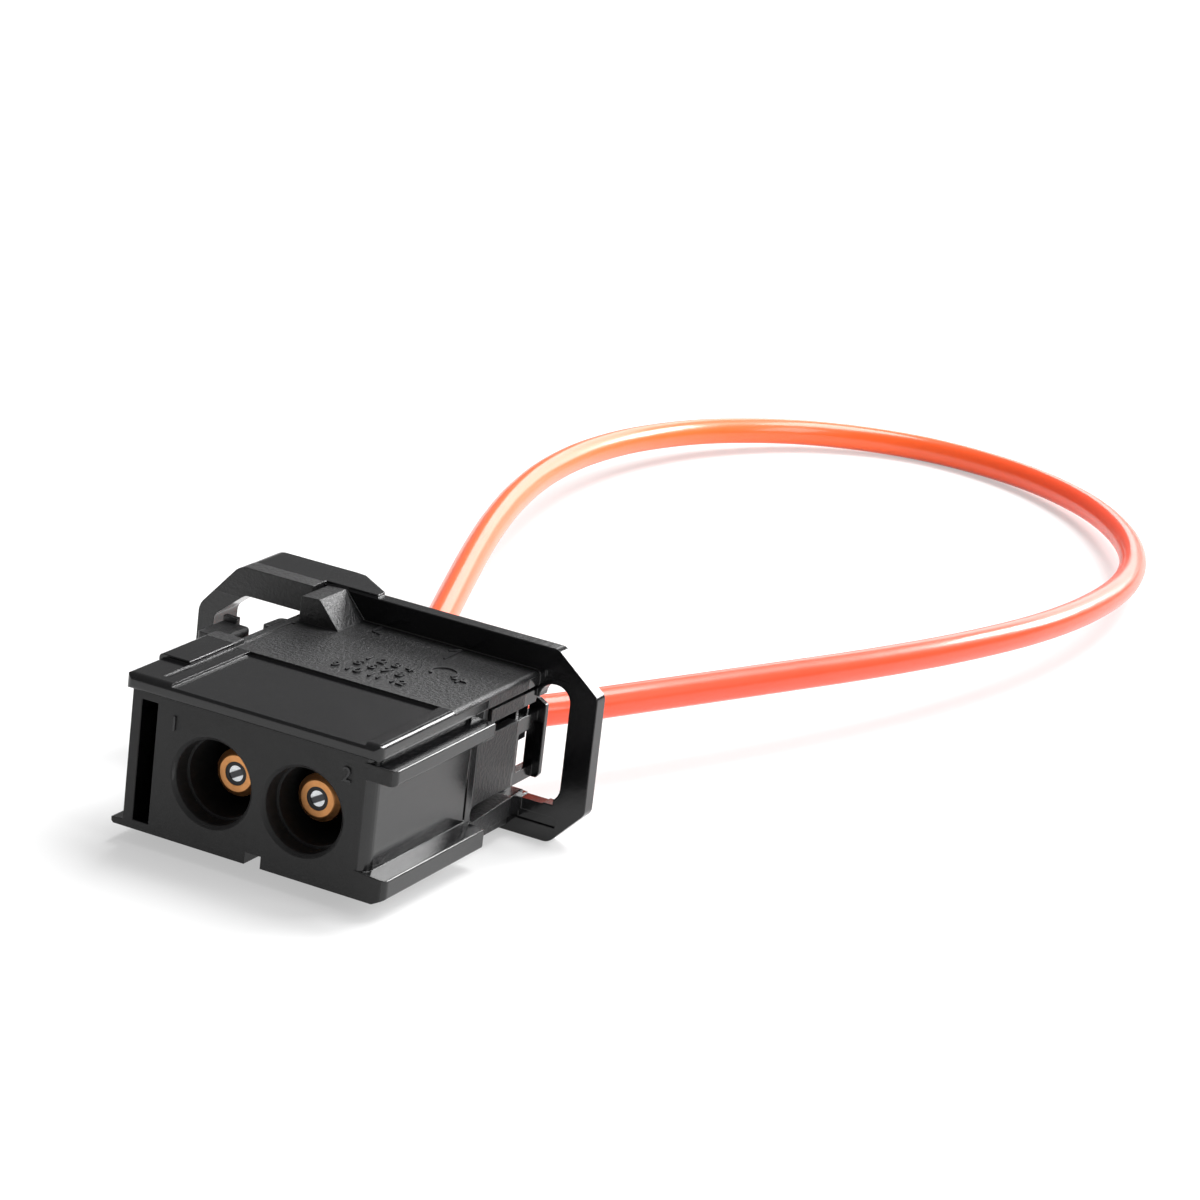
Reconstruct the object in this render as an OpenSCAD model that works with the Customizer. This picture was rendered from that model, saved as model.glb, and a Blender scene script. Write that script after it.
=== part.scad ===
// Fibre loopback plug: a two-way plug for plastic optical fibre. One jacketed fibre
// leaves its left contact, loops round and comes back into its right contact, so
// light sent into one socket returns from the other.
// X runs across the plug, +Y from the mating face towards the loop, and +Z is up.
// The origin lies on the surface under the plug, below the middle of the housing.

/* [Mating face] */
// Distance between the two socket axes, mm
socket_pitch = 7; // [6.8:0.05:7.4]
// Bore of each socket mouth, mm
socket_d = 5.84; // [5.4:0.02:6]
// Depth of each socket from the face to its floor, mm
socket_depth = 7; // [5.5:0.1:9]
// Height of the socket axes above the surface, mm
axis_h = 5.95; // [5.6:0.05:7.5]
// Width of the polarising groove under the face, mm
key_w = 1.25; // [0.8:0.05:2]
// Depth of the polarising groove, mm
key_h = 0.85; // [0.4:0.05:1]

/* [Housing body] */
// Length from the mating face to the front of the guard, mm
body_l = 20.6; // [19.5:0.1:26]
// From the socket axis down to the underside, mm
under_h = 4.8; // [4.4:0.05:5.2]
// From the socket axis up to the underside of the top plate, mm
over_h = 4.95; // [4.6:0.05:6]
// From the middle of the sockets to the left face of the socket block, mm
block_left = 8.06; // [7.6:0.02:8.4]
// From the middle of the sockets to the right wall, mm
block_right = 8.6; // [8:0.05:9]
// Thickness of the outer skin on the left, mm
skin_t = 0.74; // [0.6:0.02:1.2]
// Width of the upright slot between the skin and the socket block, mm
slot_w = 1.3; // [0.8:0.05:1.6]
// Height of that slot, mm
slot_h = 8.55; // [7:0.05:9]

/* [Top plate] */
// Thickness of the top plate, mm
plate_t = 1.1; // [0.8:0.05:1.6]
// Overhang of the top plate in front of the face, mm
plate_front = 0.4; // [0:0.05:0.8]
// Overhang of the top plate past the left skin, mm
plate_side = 0.5; // [0.2:0.05:1]
// Rounding along the front edge of the top plate, mm
plate_round = 0.5; // [0.2:0.05:0.55]
// Length of the polished pocket in the top plate, mm
pocket_l = 9.1; // [6:0.1:11]
// Depth of the polished pocket, mm
pocket_t = 0.2; // [0.1:0.02:0.4]

/* [Side rails] */
// Reach of the right rails past the right wall, mm
rail_reach = 1.55; // [0.8:0.05:2]
// Length of the right rails, mm
rail_l = 12.9; // [10:0.1:13.4]
// Height of the upper right rail, mm
rail_h = 1.15; // [0.8:0.05:1.4]

/* [Latch arms] */
// Thickness of the right latch arm, mm
arm_t = 0.7; // [0.5:0.05:1]
// Height of both latch arms, mm
arm_h = 4.8; // [4:0.05:4.9]
// Width of the slots above and below the arms, mm
arm_gap = 1.1; // [0.6:0.05:1.15]
// Start of the right arm behind the face, mm
arm_root = 13.6; // [13:0.1:15]
// Height of the catch window in the right arm, mm
arm_window = 2.8; // [1.5:0.1:3]
// Reach of the finger lip on the right arm, mm
lip_reach = 0.6; // [0.3:0.05:0.9]
// Reach of the thumb tab on the left arm, mm
tab_reach = 4.2; // [3.4:0.1:5]

/* [Guard] */
// Overall width of the guard, mm
guard_w = 31.15; // [30.6:0.05:34]
// Overall height of the guard, mm
guard_h = 14; // [13.9:0.05:17]
// Thickness of the thin half of the guard, mm
guard_t = 1.1; // [0.9:0.05:1.6]
// Depth of the top of the left ear, mm
ear_depth = 5; // [3.4:0.1:6]
// Width of the right window in the guard, mm
window_w = 2.4; // [1.6:0.1:2.5]

/* [Fibre and contacts] */
// Diameter of the orange jacket of the loop, mm
cord_d = 2.3; // [2:0.05:2.4]
// Outer diameter of each ferrule, mm
ferrule_d = 3.3; // [3:0.05:3.6]
// Distance between the two ferrule axes, mm
contact_pitch = 6.35; // [6.3:0.05:6.6]
// Diameter of the black inner jacket, mm
inner_d = 1.64; // [1.3:0.02:1.8]
// Diameter of the bare fibre, mm
core_d = 1.1; // [0.8:0.02:1.2]
// Distance of the ferrule noses behind the face, mm
nose_y = 2.7; // [1.5:0.1:3.5]

/* [Part shown] */
// Which piece is drawn

/* [Hidden] */
$fn = 48;
e = 0.02;

// Heights above the surface.
under_z = axis_h - under_h;
plate_z = axis_h + over_h;
top_z = plate_z + plate_t;

// Widths. The sockets are centred on x = 0 and the guard is wider on the left.
skin_x = -block_left - slot_w - skin_t;
plate_l = skin_x - plate_side;
plate_r = block_right + plate_side;
rail_x = block_right + rail_reach;
rail_lip_x = skin_x - 0.9;
guard_r = guard_w * 0.438;
guard_lx = guard_r - guard_w;
guard_bevel = 3.6;
thin_drop = 0.2;

// Depths behind the face.
guard_y = body_l;
rear_y = body_l + guard_t;
ear_y = body_l - 1.6;
ear_bar = 3.1;

// The left arm starts behind the raised pad on the top plate.
pad_y0 = 3.8;
pad_y1 = pocket_l + 1.3;
arm_z0 = axis_h + 0.3 - arm_h / 2;
arm_z1 = arm_z0 + arm_h;
tab_z = axis_h + 4.5;
arm_in = block_right - arm_t;
arm_end = rear_y + 0.5;
flex = 0.7;

// Ferrules sit in the middle of their passages, a little to the left of the sockets.
contact_shift = -0.175;
contact_x = [contact_shift - contact_pitch / 2, contact_shift + contact_pitch / 2];
guide_d = ferrule_d + 0.4;
passage_d = guide_d + 0.2;
guide_y = socket_depth - 0.1;
collar_d = ferrule_d + 1.3;
collar_y = 12;
collar_l = 1.5;
chamber_d = collar_d + 0.1;
ferrule_l = 15;
crimp_y = 13;

// Middle of the housing's box, which the origin is set below.
mid_x = (guard_lx + guard_r) / 2;
mid_y = (ear_y + ear_depth - plate_front) / 2;

// Route of the loop seen from above, from the right contact to the left one, with
// the drop below the contacts as the third value. It bottoms out on the surface.
loop_drop = axis_h - cord_d / 2 - 0.05;
route = [[6.2, 31, 0.02], [10, 40, 0.05], [13.9, 49.5, 0.09], [17.5, 59.1, 0.15],
         [20.4, 68.9, 0.23], [22.4, 78.9, 0.32], [23, 89, 0.43], [22.1, 99.1, 0.55],
         [19.3, 108.9, 0.68], [14.5, 117.9, 0.8], [7.8, 125.6, 0.91], [-0.8, 130.6, 0.98],
         [-10.6, 131.5, 1], [-19.2, 126.8, 0.93], [-25, 118.2, 0.81], [-27.7, 108.4, 0.68],
         [-28.1, 98.3, 0.55], [-26.8, 88.2, 0.43], [-24.3, 78.3, 0.32], [-21.1, 68.6, 0.23],
         [-17.5, 59.1, 0.15], [-13.7, 49.6, 0.09], [-9.9, 40.2, 0.05], [-6.2, 31, 0.02]];

// ---- helpers ----------------------------------------------------------------

// A box between two opposite corners.
module span(x0, x1, y0, y1, z0, z1) {
  translate([x0, y0, z0]) cube([x1 - x0, y1 - y0, z1 - z0]);
}

// Extrudes an outline of x and z values from y0 to y1.
module along_y(y0, y1) {
  translate([0, y1, 0]) rotate([90, 0, 0]) linear_extrude(y1 - y0) children();
}

// Extrudes an outline of y and z values from x0 to x1.
module along_x(x0, x1) {
  translate([x0, 0, 0]) rotate([90, 0, 90]) linear_extrude(x1 - x0) children();
}

// A round bar or bore along Y.
module rod(x, z, d, y0, y1) {
  translate([x, y1, z]) rotate([90, 0, 0]) cylinder(d = d, h = y1 - y0);
}

// Places a node made in the sockets' frame over the origin.
module seat() {
  translate([-mid_x, -mid_y, 0]) children();
}

function unit(v) = v / norm(v);

// Arc that replaces corner b of the path a, b, c with radius r, in n steps.
function fillet(a, b, c, r, n) =
  let (u = unit(a - b), w = unit(c - b),
       half = acos(max(-1, min(1, u * w))) / 2,
       m = unit(u + w),
       o = b + m * r / sin(half),
       p = b + u * r / tan(half) - o,
       q = b + w * r / tan(half) - o,
       turn = 180 - 2 * half,
       side = sign(p[0] * q[1] - p[1] * q[0]))
  [for (i = [0:n]) let (t = side * turn * i / n)
    o + [p[0] * cos(t) - p[1] * sin(t), p[0] * sin(t) + p[1] * cos(t)]];

// Outline with each corner rounded by its own radius.
function rounded(pts, radii, n = 6) =
  [for (i = [0:len(pts) - 1])
    let (k = len(pts), a = pts[(i + k - 1) % k], b = pts[i], c = pts[(i + 1) % k])
    each (radii[i] > 0 ? fillet(a, b, c, radii[i], n) : [b])];

// Corners of a rectangle, from the lower left one round to the upper left one.
function rect(x0, x1, y0, y1) = [[x0, y0], [x1, y0], [x1, y1], [x0, y1]];

// ---- housing ----------------------------------------------------------------

// Top plate: rounded along the front and side edges and at its two front corners.
module top_plate() {
  r = plate_round;
  intersection() {
    along_x(plate_l, plate_r)
      polygon(rounded(rect(-plate_front, rear_y, plate_z, top_z), [0.3, 0, 0, r], 8));
    along_y(-plate_front, rear_y)
      polygon(rounded(rect(plate_l, plate_r, plate_z, top_z), [0.2, 0.2, 0.35, 0.35]));
    linear_extrude(top_z + 1)
      polygon(rounded([[plate_l, -plate_front], [plate_r, -plate_front],
                       [plate_r, rear_y], [skin_x + 1.2, rear_y],
                       [skin_x + 1.2, pad_y1], [plate_l, pad_y1]],
                      [0.6, 0.6, 0, 0, 0.3, 0.3]));
  }
}

// Raised pad on the left shoulder of the top plate.
module shoulder_pad() {
  along_y(pad_y0, pad_y1)
    polygon(rounded(rect(plate_l - 0.15, skin_x + 1.8, plate_z + 0.3, top_z + 0.25),
                    [0.1, 0, 0.1, 0.3]));
}

// Recesses in the top plate: the polished pocket, and the strip beside the pad.
module plate_recesses() {
  span(-socket_pitch, plate_r - 1.25, -1, pocket_l, top_z - pocket_t, top_z + 1);
  span(skin_x + 1.8, skin_x + 2.15, 0.8, pad_y1 + 6, top_z - 0.1, top_z + 1);
}

// Socket block, with the rounded upright corner on its right.
module socket_block() {
  translate([0, 0, under_z]) linear_extrude(plate_z - under_z + e)
    polygon(rounded(rect(-block_left - e, block_right, 0, rear_y), [0, 0.9, 0, 0]));
}

// Outer skin on the left, joined to the block above and below the upright slot.
module left_skin() {
  difference() {
    span(skin_x, -block_left, 0, guard_y + e, under_z, plate_z + e);
    span(skin_x + skin_t, -block_left, -1, rear_y, axis_h - slot_h / 2 + 0.1,
         axis_h + slot_h / 2 + 0.1);
  }
  along_y(0, rail_l)
    polygon([[skin_x + 0.3, under_z], [rail_lip_x + 0.15, under_z],
             [rail_lip_x, under_z + 0.15], [rail_lip_x, under_z + 0.42],
             [skin_x + 0.3, under_z + 0.55]]);
}

// Rails on the right: the upper one, the lower ledge, and the narrow rear run.
module right_rails() {
  z1 = plate_z - 0.35;
  intersection() {
    along_y(0, rail_l)
      polygon(rounded([[block_right - 1.4, z1 - rail_h], [rail_x, z1 - rail_h],
                       [rail_x, z1 - 0.06], [block_right - 1.4, z1]], [0, 0.2, 0.15, 0]));
    linear_extrude(top_z)
      polygon(rounded(rect(0, rail_x, 0, rail_l), [0, 0.5, 0, 0]));
  }
  intersection() {
    along_y(0, rail_l)
      polygon(rounded([[block_right - 1.4, under_z], [block_right + 0.7, under_z],
                       [rail_x, under_z + 0.45], [rail_x, under_z + 1.75],
                       [block_right - 1.4, under_z + 2]], [0, 0.3, 0.15, 0.15, 0]));
    linear_extrude(top_z)
      polygon(rounded(rect(0, rail_x, 0, rail_l), [0, 0.5, 0, 0]));
  }
  span(block_right - 1, block_right + 0.2, rail_l - 1, rail_l + 1.3, z1 - rail_h, plate_z + e);
  span(block_right - 1, block_right + 0.4, rail_l + 1.5, guard_y + e,
       arm_z1 + arm_gap, plate_z - 0.2);
}

// Narrow rail below the right arm. It rises slightly towards the guard.
module rear_rail() {
  z0 = under_z + 0.3;
  z1 = arm_z0 - arm_gap;
  along_x(block_right - 1, block_right + 0.15)
    polygon([[rail_l - e, z0], [guard_y + e, z0 + 0.35], [guard_y + e, z1 + 0.5],
             [arm_root + 0.3, z1], [rail_l - e, z1]]);
}

// Guard outline up to a given height: bevelled at its four corners.
function guard_outline(z1) =
  let (b = guard_bevel)
  rounded([[guard_lx + b * 0.73, 0], [guard_r - b * 0.7, 0],
           [guard_r, b * 0.74], [guard_r, z1 - b * 0.75],
           [guard_r - b * 0.94, z1], [guard_lx + b * 0.86, z1],
           [guard_lx, z1 - b], [guard_lx, b * 0.74]],
          [0.6, 1, 0.8, 0.6, 0.7, 1.4, 1.4, 0.6]);

// Frame behind the body that keeps fingers and cables off the latch arms. Its left
// ear is deeper and taller, and a sloping end carries it back to the thin half.
module guard() {
  x1 = -block_left - 0.35;
  z1 = guard_h;
  along_y(guard_y, rear_y) polygon(guard_outline(z1 - thin_drop));
  intersection() {
    along_y(ear_y, ear_y + ear_bar) polygon(guard_outline(z1));
    span(guard_lx - 1, x1, ear_y - 1, ear_y + ear_bar + 1, -1, z1 + 1);
  }
  intersection() {
    along_y(ear_y, ear_y + ear_depth) polygon(guard_outline(z1));
    translate([0, 0, z1 - 2.05 - e]) linear_extrude(3)
      polygon([[guard_lx - 1, ear_y - 1], [x1, ear_y - 1], [x1, guard_y + 0.2],
               [-4.2, guard_y + 0.2], [-4.2, rear_y], [-7.1, ear_y + ear_depth - 0.1],
               [-7.9, ear_y + ear_depth], [guard_lx - 1, ear_y + ear_depth]]);
  }
}

// Key between the top plate and the guard, at the end of the left ear.
module key() {
  x0 = -block_left - 0.1;
  z1 = guard_h - 0.12;
  along_y(guard_y - 3.5, guard_y + 0.3)
    polygon(rounded([[x0, plate_z], [x0 + 3.2, plate_z], [x0 + 3.2, top_z - 0.02],
                     [x0 + 1.5, z1], [x0, z1 - 0.08]], [0, 0, 0, 0.12, 0.12]));
}

// Openings in the guard: the left ear's window, the right window, the way through
// for the right arm, and the shallow panels in the front of the thin half.
module guard_openings() {
  x0 = guard_lx + 1.3;
  x1 = -block_left - 0.35;
  z0 = 2.9;
  z1 = guard_h - 2.05;
  along_y(ear_y - 1, ear_y + ear_depth + 1)
    polygon(rounded([[x0, z0], [x1, z0], [x1, z1], [x0 + 2.4, z1], [x0, z1 - 2]],
                    [1.2, 0.3, 0.2, 0.7, 0.8]));
  xr = guard_r - 2.05;
  along_y(guard_y - e, rear_y + 1)
    polygon(rounded(rect(xr - window_w, xr, z0, guard_h - 2.7), [1.15, 1.15, 1.15, 1.15]));
  span(block_right - e, xr - window_w + 1.2, guard_y - e, rear_y + 1,
       arm_z0 - arm_gap - 0.1, arm_z1 + arm_gap + 0.4);
  span(block_right + 0.9, xr - 0.3, guard_y - 1, guard_y + 0.15,
       guard_h - 2.35, guard_h - 1.85);
  span(block_right - 0.1, xr - 0.1, guard_y - 1, guard_y + 0.15, 1.15, 1.85);
}

// Space behind, above and below the right latch arm.
module right_arm_cuts() {
  x0 = arm_in - flex;
  z0 = arm_z0 - arm_gap;
  z1 = arm_z1 + arm_gap;
  span(x0, arm_in, arm_root + 0.4, guard_y, z0, z1);
  span(x0, arm_in, guard_y - e, rear_y + 1, z0, axis_h + 0.6);
  span(arm_in - e, rail_x + 1, arm_root + 2, rear_y + 1, z0 + e, z1);
  along_x(x0, rail_x + 1)
    polygon(rounded(rect(arm_root, rear_y + 1, z0, arm_z0), [0.3, 0, 0, 0.5]));
}

// Right latch arm: a flat spring with a catch window and a finger lip at its end.
module right_arm() {
  w0 = arm_root + 5.8;
  w1 = arm_end - 0.35;
  wz = axis_h + 0.17;
  difference() {
    along_x(arm_in, block_right)
      polygon(rounded(rect(arm_root + 0.6, arm_end, arm_z0, arm_z1), [0, 0.3, 0.4, 0]));
    along_x(arm_in - 1, block_right + 1)
      polygon(rounded([[w0, wz - arm_window / 2], [w1, wz - arm_window / 2],
                       [w1, wz + arm_window / 2 + 0.5], [w1 - 0.5, wz + arm_window / 2 + 0.5],
                       [w1 - 0.8, wz + arm_window / 2], [w0, wz + arm_window / 2]],
                      [0.15, 0, 0, 0.2, 0.2, 0.15]));
  }
  along_y(arm_end - 0.4, arm_end)
    polygon(rounded([[arm_in, arm_z0], [block_right + lip_reach - 0.2, arm_z0],
                     [block_right + lip_reach, arm_z0 + 0.3],
                     [block_right + lip_reach, arm_z1 + 0.55],
                     [block_right, arm_z1 + 0.9], [arm_in, arm_z1 + 0.9]],
                    [0, 0.1, 0.1, 0.15, 0.15, 0]));
  span(arm_in - flex - e, arm_in + 0.25, arm_root + 5.9, arm_root + 6.3,
       arm_z1 - e, arm_z1 + arm_gap + e);
}

// Slots and clearance that free the rear of the left skin as the left latch arm.
module left_arm_cuts() {
  y0 = pad_y1 + 0.3;
  span(skin_x - 1, -block_left, y0, guard_y + 0.1, arm_z0 - arm_gap, arm_z0);
  span(skin_x - 1, -block_left, y0, guard_y + 0.1, arm_z1, arm_z1 + arm_gap);
  span(skin_x - 1, -block_left, y0 + 1.8, guard_y + 0.1, arm_z1, plate_z - 0.02);
  span(skin_x - 1, skin_x + skin_t + e, guard_y - 1.2, guard_y + 0.1,
       arm_z0 - arm_gap, plate_z - 0.02);
}

// Left latch: a flared rail on top of the left arm with a hook at its rear end.
module left_rail() {
  z1 = axis_h + 4.85;
  zs = arm_z1 + 0.15;
  difference() {
    translate([0, 0, zs]) linear_extrude(z1 - zs)
      polygon(rounded([[skin_x, 12.6], [-block_left - 0.45, 12.6],
                       [-block_left - 0.55, guard_y + 1.8], [skin_x - 0.8, guard_y + 1.8],
                       [skin_x - 1.2, guard_y + 1], [skin_x - 1.25, 18.6],
                       [skin_x - 0.2, 14.6]], [0, 0, 0, 0.2, 0.3, 0.3, 0.6]));
    along_y(12, guard_y + 3)
      polygon([[skin_x - 3, z1 - 0.85], [skin_x + 0.6, z1 + 0.02],
               [skin_x + 0.6, z1 + 1], [skin_x - 3, z1 + 1]]);
  }
  span(skin_x, skin_x + skin_t, 12.8, 19.3, arm_z1 - e, zs + e);
  translate([0, 0, z1 - 1.15]) linear_extrude(0.6)
    polygon(rounded([[skin_x - 0.9, 18.7], [skin_x - 0.9, guard_y + 0.9],
                     [skin_x - 1.95, guard_y + 0.5], [skin_x - 2.05, 18.9]],
                    [0, 0, 0.4, 0.3]));
}

// Thumb tab on the left arm: a thick pad on a thin bridge, with an upstand behind it
// and a rib below it.
module thumb_tab() {
  x0 = skin_x - tab_reach;
  x1 = skin_x - 1.9;
  y0 = 13.9;
  y1 = 17.2;
  intersection() {
    along_y(y0, y1)
      polygon(rounded(rect(x0, x1, tab_z - 0.9, tab_z), [0.15, 0.3, 0.4, 0.12]));
    linear_extrude(top_z)
      polygon(rounded(rect(x0, x1, y0, y1), [0.3, 0.2, 0.3, 0.3]));
  }
  along_y(y0 + 0.1, y1 - 0.1)
    polygon([[x1 - 0.6, tab_z - 0.9 + e], [skin_x + 0.2, arm_z1 - 0.25],
             [skin_x + 0.2, arm_z1 + 0.35], [x1 - 0.6, tab_z - 0.3]]);
  span(x0 + 0.05, x0 + 1.15, y1 - 0.1, y1 + 0.35, tab_z - 0.8, tab_z + 0.4);
  along_y(y0 + 1.8, y0 + 2.6)
    polygon([[x0 + 0.6, tab_z - 0.8], [skin_x + 0.1, arm_z0 + 1.4],
             [skin_x + 0.1, arm_z1], [x1, tab_z - 0.8]]);
}

// Sockets, each with a lead-in, a small step, and the passage for its ferrule.
module socket(x, xc) {
  d = socket_d;
  translate([x, -e, axis_h]) rotate([-90, 0, 0]) cylinder(d1 = d + 0.55, d2 = d, h = 0.28);
  rod(x, axis_h, d, -1, 1.6);
  rod(x, axis_h, d - 0.34, 0.5, socket_depth);
  rod(xc, axis_h, passage_d, socket_depth - 1, collar_y + e);
  rod(xc, axis_h, chamber_d, collar_y, rear_y + 1);
}

module housing() {
  color("#17181a") seat() difference() {
    union() {
      difference() {
        union() {
          socket_block();
          left_skin();
          right_rails();
          top_plate();
          shoulder_pad();
          guard();
          key();
        }
        plate_recesses();
        guard_openings();
        right_arm_cuts();
        left_arm_cuts();
      }
      rear_rail();
      right_arm();
      left_rail();
      thumb_tab();
    }
    socket(-socket_pitch / 2, contact_x[0]);
    socket(socket_pitch / 2, contact_x[1]);
    // Polarising groove along the underside.
    span(0.13 - key_w / 2, 0.13 + key_w / 2, -1, guard_y - 1, under_z - 1, under_z + key_h);
    // Hairline joint between the polished wall and the latch arm.
    along_x(block_right - 0.5, block_right + 0.03)
      polygon([[rail_l - 0.18, axis_h + 2.3], [rail_l - 0.32, axis_h - 1],
               [rail_l - 0.3, under_z + 2.02], [rail_l - 0.08, under_z + 2.02],
               [rail_l - 0.04, axis_h - 1]]);
  }
}

// ---- contacts and fibre --------------------------------------------------------

// Ferrule: a turned tube with a bevelled nose, a thicker guide in its passage, a
// locating collar and a stepped bore.
module ferrule(x) {
  r = ferrule_d / 2;
  ri = inner_d / 2;
  rj = cord_d / 2;
  color("#c8813f") seat() translate([x, nose_y, axis_h]) rotate([-90, 0, 0])
    rotate_extrude()
      polygon([[ri, 0], [r - 0.4, 0], [r, 0.32], [r, guide_y - nose_y],
               [guide_d / 2, guide_y - nose_y + 0.15], [guide_d / 2, collar_y - nose_y],
               [collar_d / 2, collar_y - nose_y],
               [collar_d / 2, collar_y - nose_y + collar_l],
               [r, collar_y - nose_y + collar_l], [r, ferrule_l], [rj, ferrule_l],
               [rj, crimp_y - nose_y], [ri, crimp_y - nose_y]]);
}

// Black inner jacket, stripped of its orange outer jacket inside the ferrule.
module inner_jacket(x) {
  color("#101113") seat() difference() {
    rod(x, axis_h, inner_d, nose_y + 0.04, crimp_y);
    rod(x, axis_h, core_d, nose_y - 1, crimp_y + 1);
  }
}

// Bare fibre end, polished flat just inside the nose.
module fibre_core(x) {
  color("#e8edf0") seat() rod(x, axis_h, core_d, nose_y + 0.1, crimp_y);
}

// Points of the loop in space, with straight runs inside the ferrules.
loop_pts = concat(
  [for (y = [crimp_y, 17, 21, 24]) [contact_x[1], y, axis_h]],
  [for (p = route) [p[0], p[1], axis_h - loop_drop * p[2]]],
  [for (y = [24, 21, 17, crimp_y]) [contact_x[0], y, axis_h]]);

// Point at t between b and c on the smooth curve through a, b, c and d.
function between(a, b, c, d, t) =
  b + t / 2 * (c - a + t * (2 * a - 5 * b + 4 * c - d + t * (3 * (b - c) + d - a)));

function ring_centres(p) =
  let (k = len(p) - 1)
  [for (i = [0:k - 1])
    each [p[i], between(p[max(i - 1, 0)], p[i], p[i + 1], p[min(i + 2, k)], 0.5)], p[k]];

function ring(c, dir, r, n) =
  let (s = unit(cross(dir, [0, 0, 1])), u = cross(s, dir))
  [for (j = [0:n - 1]) c + r * (cos(360 * j / n) * s + sin(360 * j / n) * u)];

// Round tube of radius r through the ring centres.
module swept(p, r, n = 8) {
  m = len(p);
  dirs = [for (i = [0:m - 1])
    i == 0 || i == m - 1 ? [0, i == 0 ? 1 : -1, 0] : unit(p[i + 1] - p[i - 1])];
  rings = [for (i = [0:m - 1]) each ring(p[i], dirs[i], r, n)];
  sides = [for (i = [0:m - 2], j = [0:n - 1])
    [i * n + j, (i + 1) * n + j, (i + 1) * n + (j + 1) % n, i * n + (j + 1) % n]];
  ends = [[for (j = [0:n - 1]) j], [for (j = [n - 1:-1:0]) (m - 1) * n + j]];
  polyhedron(rings, concat(ends, sides));
}

module loop() {
  color("#f4602a") seat() swept(ring_centres(loop_pts), cord_d / 2);
}

housing();
ferrule(contact_x[0]);  // ferrule_left
ferrule(contact_x[1]);  // ferrule_right
inner_jacket(contact_x[0]);  // inner_jacket_left
inner_jacket(contact_x[1]);  // inner_jacket_right
fibre_core(contact_x[0]);  // fibre_core_left
fibre_core(contact_x[1]);  // fibre_core_right
loop();
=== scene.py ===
"""Looks of the fibre loopback plug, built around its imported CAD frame.

The housing, the two ferrules and the fibre ends keep their CAD shapes and get
procedural finishes. The orange loop is swept again as a smooth tube along the CAD
route, and the small raised numerals and mould marks are added to the housing.
Every length is in metres in the CAD frame: +X to the right across the plug, +Y from
the mating face towards the loop, +Z up from the surface that it lies on.
"""
from __future__ import annotations

import logging
import math
from dataclasses import dataclass, field
from enum import Enum
from typing import Any, Sequence

import bmesh
import bpy
import numpy as np
from mathutils import Matrix, Vector


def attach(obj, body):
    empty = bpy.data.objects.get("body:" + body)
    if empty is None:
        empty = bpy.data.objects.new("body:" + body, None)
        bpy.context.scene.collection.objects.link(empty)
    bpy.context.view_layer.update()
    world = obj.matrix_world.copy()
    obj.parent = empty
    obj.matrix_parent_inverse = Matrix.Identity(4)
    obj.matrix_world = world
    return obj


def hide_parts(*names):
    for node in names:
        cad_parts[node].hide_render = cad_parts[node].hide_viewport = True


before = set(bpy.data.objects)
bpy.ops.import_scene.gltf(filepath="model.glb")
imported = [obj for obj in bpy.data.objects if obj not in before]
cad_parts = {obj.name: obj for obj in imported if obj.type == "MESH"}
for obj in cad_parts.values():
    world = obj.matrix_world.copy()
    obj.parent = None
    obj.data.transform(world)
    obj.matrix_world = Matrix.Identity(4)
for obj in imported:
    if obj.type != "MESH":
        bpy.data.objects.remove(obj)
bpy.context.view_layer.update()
LOG = logging.getLogger("loopback_plug")
MM = 0.001
Colour = tuple[float, float, float, float]

# The housing's own measures, in millimetres, taken over from the CAD source.
FACE_Y = -11.8
MID_X = 1.9313
AXIS_Z = 5.95
TOP_Z = 12.0
CONTACTS = (-3.35, 3.0)


def to_frame(x: float, y: float, z: float) -> Vector:
    """A point given in millimetres from the middle of the sockets, in the CAD frame."""
    return Vector((x + MID_X, y + FACE_Y, z)) * MM


# ---- shader helpers ------------------------------------------------------------


class Val:
    """A shader socket that adds its own Math nodes when it is used in an expression."""

    def __init__(self, graph: "Graph", socket: bpy.types.NodeSocket) -> None:
        """Wraps an output socket of a node in the graph."""
        self.graph = graph
        self.socket = socket

    def _math(self, operation: str, *others: "Val | float") -> "Val":
        """One Math node on this value and the others."""
        return self.graph.add("ShaderNodeMath", {"operation": operation}, [self, *others])

    def __add__(self, other: "Val | float") -> "Val":
        """Sum."""
        return self._math("ADD", other)

    __radd__ = __add__

    def __sub__(self, other: "Val | float") -> "Val":
        """Difference."""
        return self._math("SUBTRACT", other)

    def __rsub__(self, other: float) -> "Val":
        """Difference, with this value taken from a plain number."""
        return self.graph.add("ShaderNodeMath", {"operation": "SUBTRACT"}, [other, self])

    def __mul__(self, other: "Val | float") -> "Val":
        """Product."""
        return self._math("MULTIPLY", other)

    __rmul__ = __mul__

    def above(self, edge: float, soft: float) -> "Val":
        """Rises from 0 to 1 as the value passes the edge, over a soft band."""
        return self.graph.add(
            "ShaderNodeMapRange",
            {"interpolation_type": "SMOOTHSTEP", "clamp": True},
            {"Value": self, "From Min": edge - soft / 2, "From Max": edge + soft / 2},
            "Result",
        )

    def below(self, edge: float, soft: float) -> "Val":
        """Falls from 1 to 0 as the value passes the edge, over a soft band."""
        return 1 - self.above(edge, soft)

    def between(self, low: float, high: float, soft: float) -> "Val":
        """1 where the value lies between low and high, with soft ends."""
        return self.above(low, soft) * self.below(high, soft)


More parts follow.
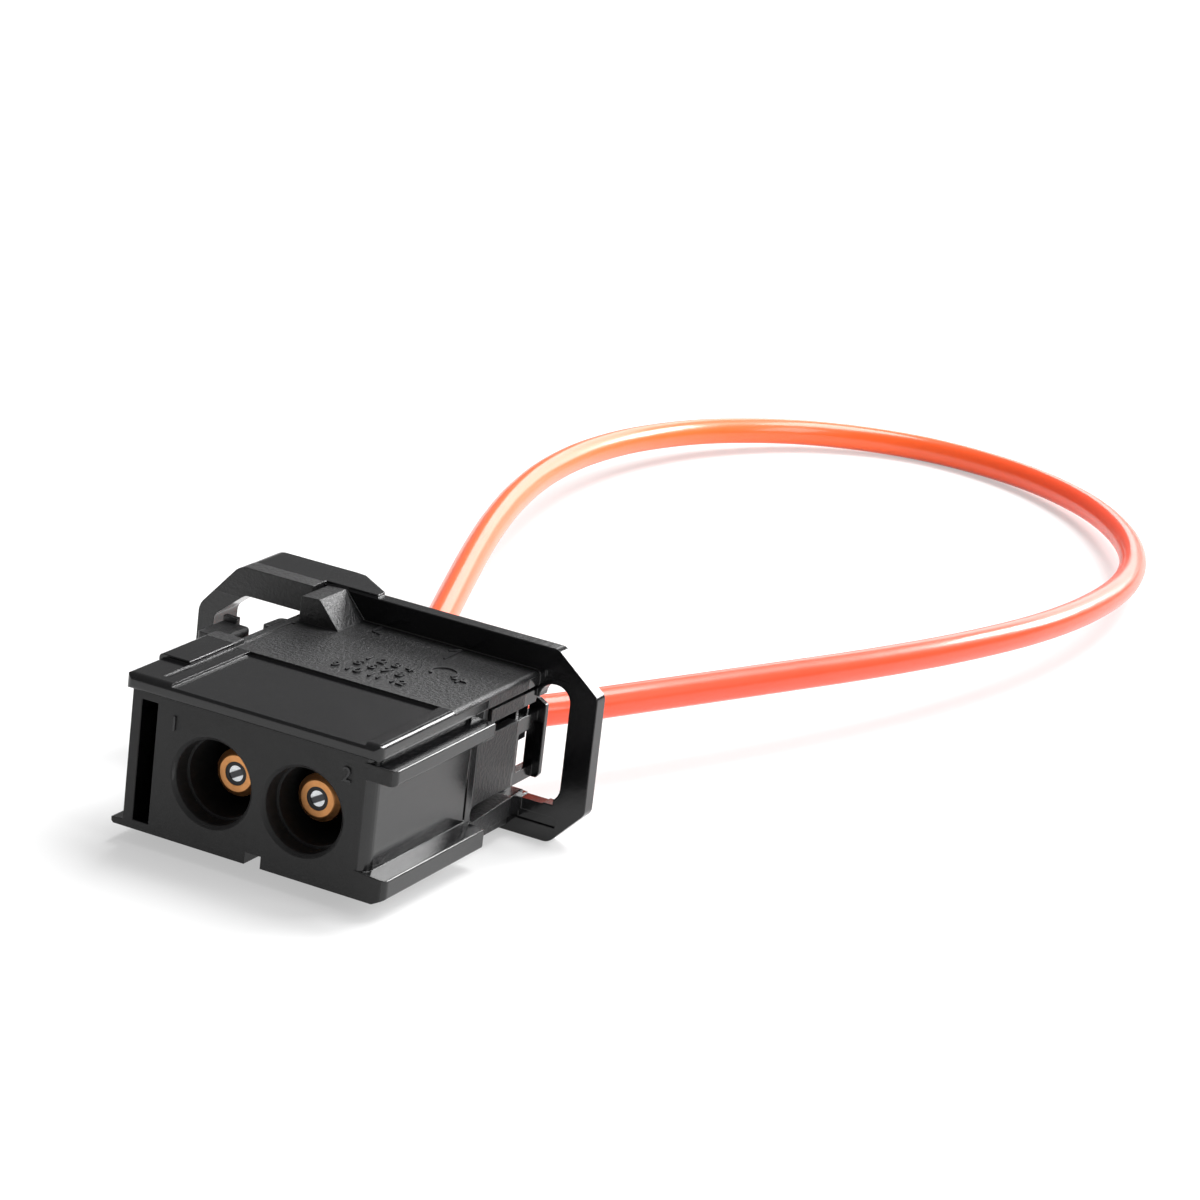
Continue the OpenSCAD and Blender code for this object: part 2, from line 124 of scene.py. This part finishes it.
class Graph:
    """The node tree of one material."""

    def __init__(self, name: str) -> None:
        """Makes an empty material of that name.

        Args:
            name: The material's name.
        """
        self.material = bpy.data.materials.new(name)
        self.material.use_nodes = True
        self.tree = self.material.node_tree
        self.tree.nodes.clear()
        self.out = self.tree.nodes.new("ShaderNodeOutputMaterial")

    def put(self, socket: bpy.types.NodeSocket, value: Any) -> None:
        """Links a wrapped value to a socket, or sets a plain one on it."""
        if isinstance(value, Val):
            self.tree.links.new(value.socket, socket)
        else:
            socket.default_value = value

    def add(
        self,
        kind: str,
        settings: dict[str, Any] | None = None,
        inputs: dict[str, Any] | Sequence[Any] | None = None,
        output: str | int = 0,
    ) -> Val:
        """Adds a node.

        Args:
            kind: The node's Blender type.
            settings: Its properties, set before the sockets.
            inputs: Values or links by socket name, or in socket order.
            output: The output wanted, by name or place.

        Returns:
            The wrapped output socket.
        """
        node = self.tree.nodes.new(kind)
        for key, value in (settings or {}).items():
            setattr(node, key, value)
        pairs = inputs.items() if isinstance(inputs, dict) else enumerate(inputs or [])
        for key, value in pairs:
            self.put(node.inputs[key], value)
        return Val(self, node.outputs[output])

    def mix(self, factor: Val | float, a: Any, b: Any) -> Val:
        """Mixes two colours by a factor."""
        node = self.tree.nodes.new("ShaderNodeMix")
        node.data_type = "RGBA"
        for place, value in ((0, factor), (6, a), (7, b)):
            self.put(node.inputs[place], value)
        return Val(self, node.outputs[2])

    def position(self) -> tuple[Val, tuple[Val, Val, Val]]:
        """Object coordinates, as a vector and as its three values in millimetres."""
        coords = self.add("ShaderNodeTexCoord", output="Object")
        scaled = self.add(
            "ShaderNodeVectorMath", {"operation": "SCALE"}, {"Vector": coords, "Scale": 1000.0}
        )
        split = self.tree.nodes.new("ShaderNodeSeparateXYZ")
        self.put(split.inputs[0], scaled)
        return scaled, tuple(Val(self, split.outputs[i]) for i in range(3))

    def stretched(self, vector: Val, scale: tuple[float, float, float]) -> Val:
        """A vector with each of its values multiplied by a number."""
        return self.add("ShaderNodeVectorMath", {"operation": "MULTIPLY"}, [vector, scale])

    def noise(self, vector: Val, scale: float, detail: float = 3.0, rough: float = 0.5) -> Val:
        """Noise with about `scale` features in a millimetre."""
        return self.add(
            "ShaderNodeTexNoise",
            {},
            {"Vector": vector, "Scale": scale, "Detail": detail, "Roughness": rough},
            "Fac",
        )

    def edges(self, radius_mm: float) -> Val:
        """Normal that rounds every edge of the surface by a small radius."""
        return self.add("ShaderNodeBevel", {"samples": 6}, {"Radius": radius_mm * MM})

    def bump(self, height: Val, distance_mm: float, normal: Val | None = None) -> Val:
        """Normal of a surface raised by height times a distance."""
        inputs: dict[str, Any] = {"Height": height, "Distance": distance_mm * MM, "Strength": 1.0}
        if normal is not None:
            inputs["Normal"] = normal
        return self.add("ShaderNodeBump", {}, inputs)

    def finish(self, **sockets: Any) -> bpy.types.Material:
        """Ends the tree in a Principled shader with these sockets.

        Args:
            **sockets: Values or links by socket name, with _ for a space.

        Returns:
            The material.
        """
        shader = self.add(
            "ShaderNodeBsdfPrincipled",
            {},
            {key.replace("_", " "): value for key, value in sockets.items()},
        )
        self.tree.links.new(shader.socket, self.out.inputs["Surface"])
        return self.material


# ---- finishes ------------------------------------------------------------------


@dataclass(frozen=True)
class MouldedBlack:
    """Black moulded plastic: polished walls, a matt face and spark-textured rear faces.

    Every roughness is the middle of the zone's range, and edge_mm rounds the edges.
    """

    name: str = "moulded_black"
    colour: Colour = (0.004, 0.004, 0.0045, 1.0)
    face: Colour = (0.009, 0.009, 0.0093, 1.0)
    polished: float = 0.16
    textured: float = 0.34
    matt: float = 0.6
    edge_mm: float = 0.12
    scuffed: Colour = (0.014, 0.014, 0.0145, 1.0)
    grain_mm: float = 0.03

    def build(self) -> bpy.types.Material:
        """Makes the material.

        Returns:
            The material, with its zones set out by the housing's own coordinates.
        """
        g = Graph(self.name)
        vec, (x, y, z) = g.position()
        face = y.below(FACE_Y + 0.06, 0.05) * z.below(TOP_Z - 1.05, 0.05)
        sockets = (
            y.between(FACE_Y + 0.06, FACE_Y + 9.0, 0.05)
            * z.between(2.9, 9.0, 0.05)
            * x.between(MID_X - 6.5, MID_X + 6.5, 0.05)
        )
        front = y.below(FACE_Y + 9.1, 0.05)
        top = z.above(TOP_Z - 0.3, 0.05)
        rear = y.between(FACE_Y + 13.7, FACE_Y + 19.0, 0.3)
        texture = g.noise(vec, 3.6, 5.0, 0.65)
        flow = g.noise(g.stretched(vec, (2.6, 0.5, 2.6)), 1.0, 4.0)
        plate = top * (1 - front) * y.below(FACE_Y + 20.5, 0.1)
        sparked = (plate + (1 - top) * rear) * (1 - face)
        matt_zone = face + sockets * (1 - face)
        wear = g.noise(vec, 0.35, 4.0, 0.65)
        roughness = (
            sparked * (self.textured - self.polished)
            + matt_zone * (self.matt - self.polished)
            + wear * 0.09
            + (self.polished - 0.04)
        )
        height = texture * (sparked * 2.6 + matt_zone * 0.5 + 0.05) + flow * 0.25
        scuff = g.noise(vec, 0.9, 5.0, 0.7).above(0.62, 0.12)
        colour = g.mix(matt_zone, self.colour, self.face)
        colour = g.mix(scuff * 0.25, colour, self.scuffed)
        return g.finish(
            Base_Color=colour,
            Roughness=roughness,
            IOR=1.52,
            Normal=g.bump(height, self.grain_mm, g.edges(self.edge_mm)),
        )


@dataclass(frozen=True)
class TurnedFerrule:
    """Turned copper-coloured metal with fine lathe rings on its nose, random stains, and painted
    shade behind the nose.
    """

    name: str = "turned_ferrule"
    colour: Colour = (0.86, 0.40, 0.15, 1.0)
    # Dark colour used both for the random stains and for the painted shade behind the nose.
    dark: Colour = (0.30, 0.115, 0.035, 1.0)
    roughness: float = 0.36

    def build(self) -> bpy.types.Material:
        """Makes the material."""
        g = Graph(self.name)
        vec, (_, y, _) = g.position()
        stain = g.noise(vec, 1.6, 4.0, 0.6)
        nose = y.below(FACE_Y + 2.76, 0.04)
        lathe = g.noise(g.stretched(vec, (0.4, 9.0, 0.4)), 2.0)
        # Painted shade: behind its nose, deeper in the socket, the ferrule is darkened, on top of
        # the random stains.
        colour = g.mix(stain * 0.5 + (1 - nose) * 0.35, self.colour, self.dark)
        return g.finish(
            Base_Color=colour,
            Metallic=0.85,
            Roughness=stain * 0.12 + (self.roughness - 0.06),
            Normal=g.bump(lathe, 0.01, g.edges(0.05)),
        )


@dataclass(frozen=True)
class InnerJacket:
    """Black inner jacket of the fibre, cut off square."""

    name: str = "inner_jacket"
    colour: Colour = (0.006, 0.006, 0.007, 1.0)

    def build(self) -> bpy.types.Material:
        """Makes the material."""
        g = Graph(self.name)
        vec, _ = g.position()
        cut = g.noise(vec, 5.0, 3.0)
        return g.finish(
            Base_Color=self.colour,
            Roughness=cut * 0.2 + 0.3,
            Normal=g.bump(cut, 0.006, g.edges(0.03)),
        )


@dataclass(frozen=True)
class FibreEnd:
    """Polished end of the clear fibre: bright glass-like plastic whose light colour is a painted
    highlight, with a darker band that is a painted reflection, and a painted glow.
    """

    name: str = "fibre_end"
    # Light colour of the end: a painted highlight.
    light: Colour = (0.93, 0.95, 0.97, 1.0)
    dark: Colour = (0.03, 0.035, 0.045, 1.0)
    # Colour of the painted glow outside the band; inside the band the glow is off.
    painted_glow: Colour = (0.5, 0.52, 0.55, 1.0)
    unlit: Colour = (0.0, 0.0, 0.0, 1.0)

    def build(self) -> bpy.types.Material:
        """Makes the material: the band of painted dark reflection runs across each end, from lower
        left to upper right, and the ends glow as painted light.
        """
        g = Graph(self.name)
        _, (x, _, z) = g.position()
        left, right = CONTACTS
        on_right = x.above(MID_X - 0.2, 0.01)
        off_x = x - (MID_X + left) - on_right * (right - left)
        off_z = z - AXIS_Z
        across = off_x * 0.5 - off_z * 0.86
        band = across.between(-0.2, 0.24, 0.1)
        # Painted reflection: the light colour with a dark band across each end.
        colour = g.mix(band, self.light, self.dark)
        # Painted glow: the fibre ends give off light though they are no lamp.
        glow = g.mix(band, self.painted_glow, self.unlit)
        return g.finish(
            Base_Color=colour,
            Roughness=0.12,
            Emission_Color=glow,
            Emission_Strength=0.55,
        )


@dataclass(frozen=True)
class OrangeJacket:
    """Smooth orange outer jacket with a soft gloss and slight waviness."""

    name: str = "orange_jacket"
    red: Colour = (0.9, 0.055, 0.01, 1.0)
    # Lighter amber tone of the left-hand run: painted light on the one jacket colour.
    painted_light_amber: Colour = (0.92, 0.13, 0.016, 1.0)
    worn: Colour = (0.95, 0.12, 0.03, 1.0)

    def build(self) -> bpy.types.Material:
        """Makes the material: redder on the right-hand run than on the left one, whose lighter
        amber tone is painted light.
        """
        g = Graph(self.name)
        vec, (x, _, _) = g.position()
        # Painted light: the jacket shades from a lighter amber on the left-hand run to red on the
        # right-hand run.
        side = x.above(-4.0, 44.0)
        mottle = g.noise(vec, 0.22, 3.0)
        colour = g.mix(side, self.painted_light_amber, self.red)
        colour = g.mix(mottle * 0.18, colour, self.worn)
        skin = g.noise(vec, 2.2, 3.0)
        return g.finish(
            Base_Color=colour,
            Roughness=mottle * 0.08 + 0.3,
            Coat_Weight=0.35,
            Coat_Roughness=0.08,
            Normal=g.bump(skin, 0.008),
        )


@dataclass(frozen=True)
class RaisedMark:
    """Black plastic of the raised marks, a touch glossier than the wall they stand on."""

    name: str = "raised_mark"
    colour: Colour = (0.012, 0.012, 0.013, 1.0)
    roughness: float = 0.28

    def build(self) -> bpy.types.Material:
        """Makes the material."""
        g = Graph(self.name)
        vec, _ = g.position()
        grain = g.noise(vec, 4.0, 3.0)
        return g.finish(
            Base_Color=self.colour,
            Roughness=grain * 0.15 + self.roughness,
            Normal=g.bump(grain, 0.008, g.edges(0.03)),
        )


# ---- mesh helpers --------------------------------------------------------------


def mesh_object(
    name: str, points: np.ndarray, faces: np.ndarray, smooth: bool
) -> bpy.types.Object:
    """Puts arrays of points and faces into a new mesh object at the origin.

    Args:
        name: The object's name.
        points: Points in metres, one row each.
        faces: Indices of each face's corners, one row each.
        smooth: Whether the faces are shaded smooth.

    Returns:
        The object, linked to the scene.
    """
    mesh = bpy.data.meshes.new(name)
    mesh.from_pydata(points.tolist(), [], faces.tolist())
    mesh.polygons.foreach_set("use_smooth", np.full(len(faces), smooth))
    mesh.update()
    obj = bpy.data.objects.new(name, mesh)
    bpy.context.scene.collection.objects.link(obj)
    return obj


def dress(obj: bpy.types.Object, material: bpy.types.Material) -> None:
    """Gives an object one material in place of any that it has."""
    obj.data.materials.clear()
    obj.data.materials.append(material)


def grid_faces(rows: int, columns: int) -> np.ndarray:
    """Faces of a grid that is closed round its columns.

    Args:
        rows: Number of rings.
        columns: Number of points in each ring.

    Returns:
        One row of four indices for each face, turned outwards.
    """
    row, col = np.meshgrid(np.arange(rows - 1), np.arange(columns), indexing="ij")
    a = row * columns + col
    b = row * columns + (col + 1) % columns
    return np.stack([a, b, b + columns, a + columns], axis=-1).reshape(-1, 4)


# ---- the object's parts ----------------------------------------------------------


@dataclass
class Loop:
    """The orange jacketed fibre that leaves one contact and comes back into the other."""

    diameter: float = 2.3
    contacts: tuple[float, float] = CONTACTS
    steps: int = 12
    sides: int = 40
    straight: tuple[float, ...] = (13.0, 17.0, 21.0, 24.0)
    drop: float = AXIS_Z - 2.3 / 2 - 0.05
    route: list[tuple[float, float, float]] = field(default_factory=lambda: [
        (6.2, 31, 0.02), (10, 40, 0.05), (13.9, 49.5, 0.09), (17.5, 59.1, 0.15),
        (20.4, 68.9, 0.23), (22.4, 78.9, 0.32), (23, 89, 0.43), (22.1, 99.1, 0.55),
        (19.3, 108.9, 0.68), (14.5, 117.9, 0.8), (7.8, 125.6, 0.91), (-0.8, 130.6, 0.98),
        (-10.6, 131.5, 1), (-19.2, 126.8, 0.93), (-25, 118.2, 0.81), (-27.7, 108.4, 0.68),
        (-28.1, 98.3, 0.55), (-26.8, 88.2, 0.43), (-24.3, 78.3, 0.32), (-21.1, 68.6, 0.23),
        (-17.5, 59.1, 0.15), (-13.7, 49.6, 0.09), (-9.9, 40.2, 0.05), (-6.2, 31, 0.02)])

    def line(self) -> np.ndarray:
        """The centre line: a smooth curve through the route's points.

        Returns:
            Points in metres, one row each.
        """
        left, right = self.contacts
        route = np.array(self.route, float)
        route[:, 2] = AXIS_Z - self.drop * route[:, 2]
        first = np.array([(right, y, AXIS_Z) for y in self.straight])
        last = np.array([(left, y, AXIS_Z) for y in self.straight[::-1]])
        knots = np.concatenate([first, route, last]) + np.array([MID_X, FACE_Y, 0.0])
        padded = np.concatenate([knots[:1], knots, knots[-1:]])
        a, b, c, d = padded[:-3], padded[1:-2], padded[2:-1], padded[3:]
        t = (np.arange(self.steps) / self.steps)[None, :, None]
        a, b, c, d = (v[:, None, :] for v in (a, b, c, d))
        curve = b + t / 2 * (c - a + t * (2 * a - 5 * b + 4 * c - d + t * (3 * (b - c) + d - a)))
        return np.concatenate([curve.reshape(-1, 3), knots[-1:]]) * MM

    def build(self, finish: OrangeJacket) -> bpy.types.Object:
        """Args:
            finish: The jacket's finish.

        Returns:
            The tube.
        """
        line = self.line()
        along = np.gradient(line, axis=0)
        along[[0, -1]] = [(0, 1, 0), (0, -1, 0)]
        along /= np.linalg.norm(along, axis=1, keepdims=True)
        side = np.cross(along, (0.0, 0.0, 1.0))
        side /= np.linalg.norm(side, axis=1, keepdims=True)
        up = np.cross(side, along)
        angle = np.arange(self.sides) * 2 * np.pi / self.sides
        radius = self.diameter / 2 * MM
        turn = angle[None, :, None]
        ring = np.cos(turn) * side[:, None, :] + np.sin(turn) * up[:, None, :]
        points = (line[:, None, :] + radius * ring).reshape(-1, 3)
        faces = grid_faces(len(line), self.sides)[:, ::-1]
        tube = mesh_object("loop_jacket", points, faces, True)
        self._cap(tube)
        dress(tube, finish.build())
        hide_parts("loop")
        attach(tube, "root")
        return tube

    def _cap(self, tube: bpy.types.Object) -> None:
        """Closes both ends of the tube with flat faces."""
        bm = bmesh.new()
        bm.from_mesh(tube.data)
        bmesh.ops.holes_fill(bm, edges=[e for e in bm.edges if e.is_boundary], sides=self.sides)
        bmesh.ops.recalc_face_normals(bm, faces=bm.faces)
        bm.to_mesh(tube.data)
        bm.free()


class Facing(Enum):
    """The way that a mark on the housing looks."""

    FRONT = Matrix.Rotation(math.pi / 2, 4, "X")
    TOP = Matrix.Identity(4)


@dataclass
class HousingMarks:
    """Raised numerals and plain mould marks on the housing.

    Lengths are in millimetres: relief is how far a mark stands out, and sunk is how
    far a mark's foot lies inside the plate under it.
    """

    relief: float = 0.1
    sunk: float = 0.03
    bar: float = 0.2
    dial_steps: int = 49
    finish: RaisedMark = field(default_factory=RaisedMark)

    def numeral(
        self, name: str, text: str, at: Vector, size: float, facing: Facing
    ) -> bpy.types.Object:
        """Makes raised numerals.

        Args:
            name: The piece's name.
            text: The digits.
            at: Middle of the numerals, on the wall.
            size: Height of the digits in millimetres.
            facing: The way that they look.

        Returns:
            The numerals as a mesh whose place is in its points.
        """
        curve = bpy.data.curves.new(name, "FONT")
        curve.body = text
        curve.size = size * MM / 0.7
        curve.align_x = "CENTER"
        curve.align_y = "CENTER"
        curve.extrude = self.relief * MM
        curve.bevel_depth = 0.015 * MM
        curve.space_character = 1.1
        curve.resolution_u = 6
        made = bpy.data.objects.new(name + "_text", curve)
        bpy.context.scene.collection.objects.link(made)
        bpy.context.view_layer.update()
        shown = made.evaluated_get(bpy.context.evaluated_depsgraph_get())
        mesh = bpy.data.meshes.new_from_object(shown)
        bpy.data.objects.remove(made)
        mesh.transform(Matrix.Translation(at) @ facing.value)
        mesh.name = name
        obj = bpy.data.objects.new(name, mesh)
        bpy.context.scene.collection.objects.link(obj)
        return obj

    def stroke(
        self, name: str, start: tuple[float, float], end: tuple[float, float]
    ) -> bpy.types.Object:
        """Makes a raised bar on the top plate.

        The bar is a box whose long side runs from start to end and whose top is a
        little narrower than its foot.

        Args:
            name: The piece's name.
            start: First end, in millimetres across and behind the face.
            end: Second end.

        Returns:
            The bar.
        """
        a, b = np.array(start), np.array(end)
        along = (b - a) / np.linalg.norm(b - a)
        side = np.array([-along[1], along[0]]) * self.bar / 2
        foot = np.array([a - side, b - side, b + side, a + side])
        crown = (foot - foot.mean(0)) * 0.9 + foot.mean(0)
        low = np.column_stack([foot, np.full(4, TOP_Z - self.sunk)])
        high = np.column_stack([crown, np.full(4, TOP_Z + self.relief)])
        points = (np.concatenate([low, high]) + [MID_X, FACE_Y, 0.0]) * MM
        faces = np.array([[3, 2, 1, 0], [4, 5, 6, 7], [0, 1, 5, 4],
                          [1, 2, 6, 5], [2, 3, 7, 6], [3, 0, 4, 7]])
        return mesh_object(name, points, faces, False)

    def dial(self, name: str, centre: tuple[float, float], radius: float) -> bpy.types.Object:
        """Makes a raised ring: a rectangle carried round most of a circle.

        Args:
            name: The piece's name.
            centre: Its middle in millimetres across and behind the face.
            radius: Its middle radius in millimetres.

        Returns:
            The ring, open on one side.
        """
        angle = np.linspace(math.radians(-30), math.radians(230), self.dial_steps)
        out = np.column_stack([np.cos(angle), np.sin(angle)])
        foot, crown = self.bar * 0.5, self.bar * 0.4
        section = [(radius - foot, -self.sunk), (radius + foot, -self.sunk),
                   (radius + crown, self.relief), (radius - crown, self.relief)]
        rings = [np.column_stack([out * r, np.full(len(out), h)]) for r, h in section]
        points = np.stack(rings, axis=1).reshape(-1, 3)
        points = (points + [centre[0] + MID_X, centre[1] + FACE_Y, TOP_Z]) * MM
        first = np.arange(len(section))
        last = first[::-1] + len(points) - len(section)
        around = grid_faces(self.dial_steps, len(section))[:, ::-1]
        faces = np.concatenate([around, [first, last]])
        return mesh_object(name, points, faces, False)

    def build(self) -> list[bpy.types.Object]:
        """Makes every mark and lets it ride on the housing.

        Returns:
            The marks.
        """
        made = [
            self.numeral("numeral_1", "1", to_frame(-6.7, 0, AXIS_Z + 3.3), 1.0, Facing.FRONT),
            self.numeral("numeral_2", "2", to_frame(6.6, 0, AXIS_Z + 3.4), 1.0, Facing.FRONT),
            self.numeral("grid_row_1", "1 2 3 4", to_frame(1.1, 13.9, TOP_Z), 0.85, Facing.TOP),
            self.numeral("grid_row_2", "5 6 7 8", to_frame(1.1, 12.5, TOP_Z), 0.85, Facing.TOP),
            self.numeral("grid_row_3", "9 10 11 12", to_frame(1.1, 11.1, TOP_Z), 0.85, Facing.TOP),
            self.stroke("tick_left", (-3.3, 18.9), (-3.3, 20.2)),
            self.stroke("tick_left_foot", (-3.3, 18.9), (-2.5, 18.7)),
            self.stroke("tick_right", (3.2, 17.5), (3.2, 20.0)),
            self.stroke("tick_right_foot", (2.5, 19.3), (3.2, 20.1)),
            self.stroke("cross_bar", (5.6, 14.5), (6.8, 14.5)),
            self.stroke("cross_post", (6.2, 13.9), (6.2, 15.1)),
            self.dial("dial", (4.6, 15.2), 0.95),
        ]
        material = self.finish.build()
        for obj in made:
            dress(obj, material)
            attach(obj, "root")
            LOG.info("%s: %d faces", obj.name, len(obj.data.polygons))
        return made


@dataclass
class PlugBody:
    """The CAD nodes that stay as they are and only get a finish."""

    finishes: dict[str, Any] = field(default_factory=lambda: {
        "housing": MouldedBlack(),
        "ferrule_left": TurnedFerrule(),
        "ferrule_right": TurnedFerrule(),
        "inner_jacket_left": InnerJacket(),
        "inner_jacket_right": InnerJacket(),
        "fibre_core_left": FibreEnd(),
        "fibre_core_right": FibreEnd(),
    })

    def build(self) -> None:
        """Dresses each node."""
        made: dict[str, bpy.types.Material] = {}
        for node, finish in self.finishes.items():
            material = made.get(finish.name) or made.setdefault(finish.name, finish.build())
            dress(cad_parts[node], material)
            LOG.info("%s: %s", node, finish.name)


# ---- studio ------------------------------------------------------------------------


@dataclass
class Studio:
    """Camera, pale floor and soft lamps."""

    camera_at: tuple[float, float, float] = (0.13358, -0.23170, 0.10424)
    lens: float = 126.0
    floor_size: float = 6.0
    floor_glow: float = 0.45
    room_light: float = 0.25
    axes: tuple[tuple[float, float, float], ...] = (
        (0.8744, 0.4720, 0.1125), (-0.2405, 0.2201, 0.9454), (0.4215, -0.8537, 0.3060))

    def camera(self) -> None:
        """Sets up the camera, turned by its axes: right, up and backwards."""
        data = bpy.data.cameras.new("view")
        data.lens = self.lens
        data.sensor_width = 36.0
        data.clip_start = 0.01
        data.clip_end = 20.0
        obj = bpy.data.objects.new("view", data)
        turn = Matrix(self.axes).transposed().to_4x4()
        obj.matrix_world = Matrix.Translation(self.camera_at) @ turn
        bpy.context.scene.collection.objects.link(obj)
        bpy.context.scene.camera = obj

    def lamp(
        self, name: str, at: Sequence[float], target: Sequence[float], size: Sequence[float],
        watts: float,
    ) -> None:
        """Adds a soft rectangular lamp.

        Args:
            name: The lamp's name.
            at: Its place.
            target: The point it looks at.
            size: Its width and height.
            watts: Its power.
        """
        data = bpy.data.lights.new(name, "AREA")
        data.shape = "RECTANGLE"
        data.size, data.size_y = size
        data.energy = watts
        obj = bpy.data.objects.new(name, data)
        obj.location = at
        obj.rotation_euler = (Vector(target) - Vector(at)).to_track_quat("-Z", "Y").to_euler()
        bpy.context.scene.collection.objects.link(obj)

    def floor(self) -> None:
        """Lays the floor: a pale matt sheet that stays white to the eye and keeps the shadow."""
        half = self.floor_size / 2
        points = np.array([(-1, -1, 0), (1, -1, 0), (1, 1, 0), (-1, 1, 0)], float) * half
        sheet = mesh_object("floor", points, np.array([[0, 1, 2, 3]]), False)
        g = Graph("floor_paper")
        diffuse = g.add("ShaderNodeBsdfDiffuse", {}, {"Color": (0.86, 0.86, 0.86, 1.0)})
        glow = g.add("ShaderNodeEmission", {}, {"Color": (1, 1, 1, 1), "Strength": 1.0})
        path = g.tree.nodes.new("ShaderNodeLightPath")
        camera, glossy, transmitted = (
            Val(g, path.outputs[f"Is {kind} Ray"]) for kind in ("Camera", "Glossy", "Transmission")
        )
        seen = camera + glossy + transmitted
        seen = g.add("ShaderNodeMath", {"operation": "MINIMUM"}, [seen, 1.0])
        mixed = g.add("ShaderNodeMixShader", {}, [seen * self.floor_glow, diffuse, glow])
        g.tree.links.new(mixed.socket, g.out.inputs["Surface"])
        dress(sheet, g.material)

    def world(self) -> None:
        """Fills the room with dim, even light."""
        world = bpy.data.worlds.new("room")
        bpy.context.scene.world = world
        world.use_nodes = True
        ambient = world.node_tree.nodes["Background"]
        ambient.inputs["Color"].default_value = (1.0, 1.0, 1.0, 1.0)
        ambient.inputs["Strength"].default_value = self.room_light

    def lights(self) -> None:
        """Hangs four lamps: one overhead, a wide and a small one behind, one on the right."""
        middle = (0.0, 0.02, 0.008)
        self.lamp("overhead", (0.12, 0.38, 0.78), middle, (0.6, 0.45), 9.5)
        self.lamp("rear_wide", (-0.12, 1.14, 0.36), middle, (0.8, 0.4), 3.0)
        self.lamp("rear_small", (0.25, 0.68, 0.34), middle, (0.25, 0.25), 4.5)
        self.lamp("right_side", (0.7, 0.05, 0.42), middle, (0.35, 0.5), 3.0)

    def build(self) -> None:
        """Makes the floor, the room and the lamps, and sets the plain view transform."""
        self.floor()
        self.world()
        self.lights()
        bpy.context.scene.view_settings.view_transform = "Standard"
        LOG.info("studio ready")


def main() -> None:
    """Builds the camera, the loop, the finishes, the marks and the studio, in that order."""
    logging.basicConfig(level=logging.INFO, format="%(name)s: %(message)s")
    studio = Studio()
    studio.camera()
    Loop().build(OrangeJacket())
    PlugBody().build()
    HousingMarks().build()
    studio.build()


if __name__ == "__main__":
    main()
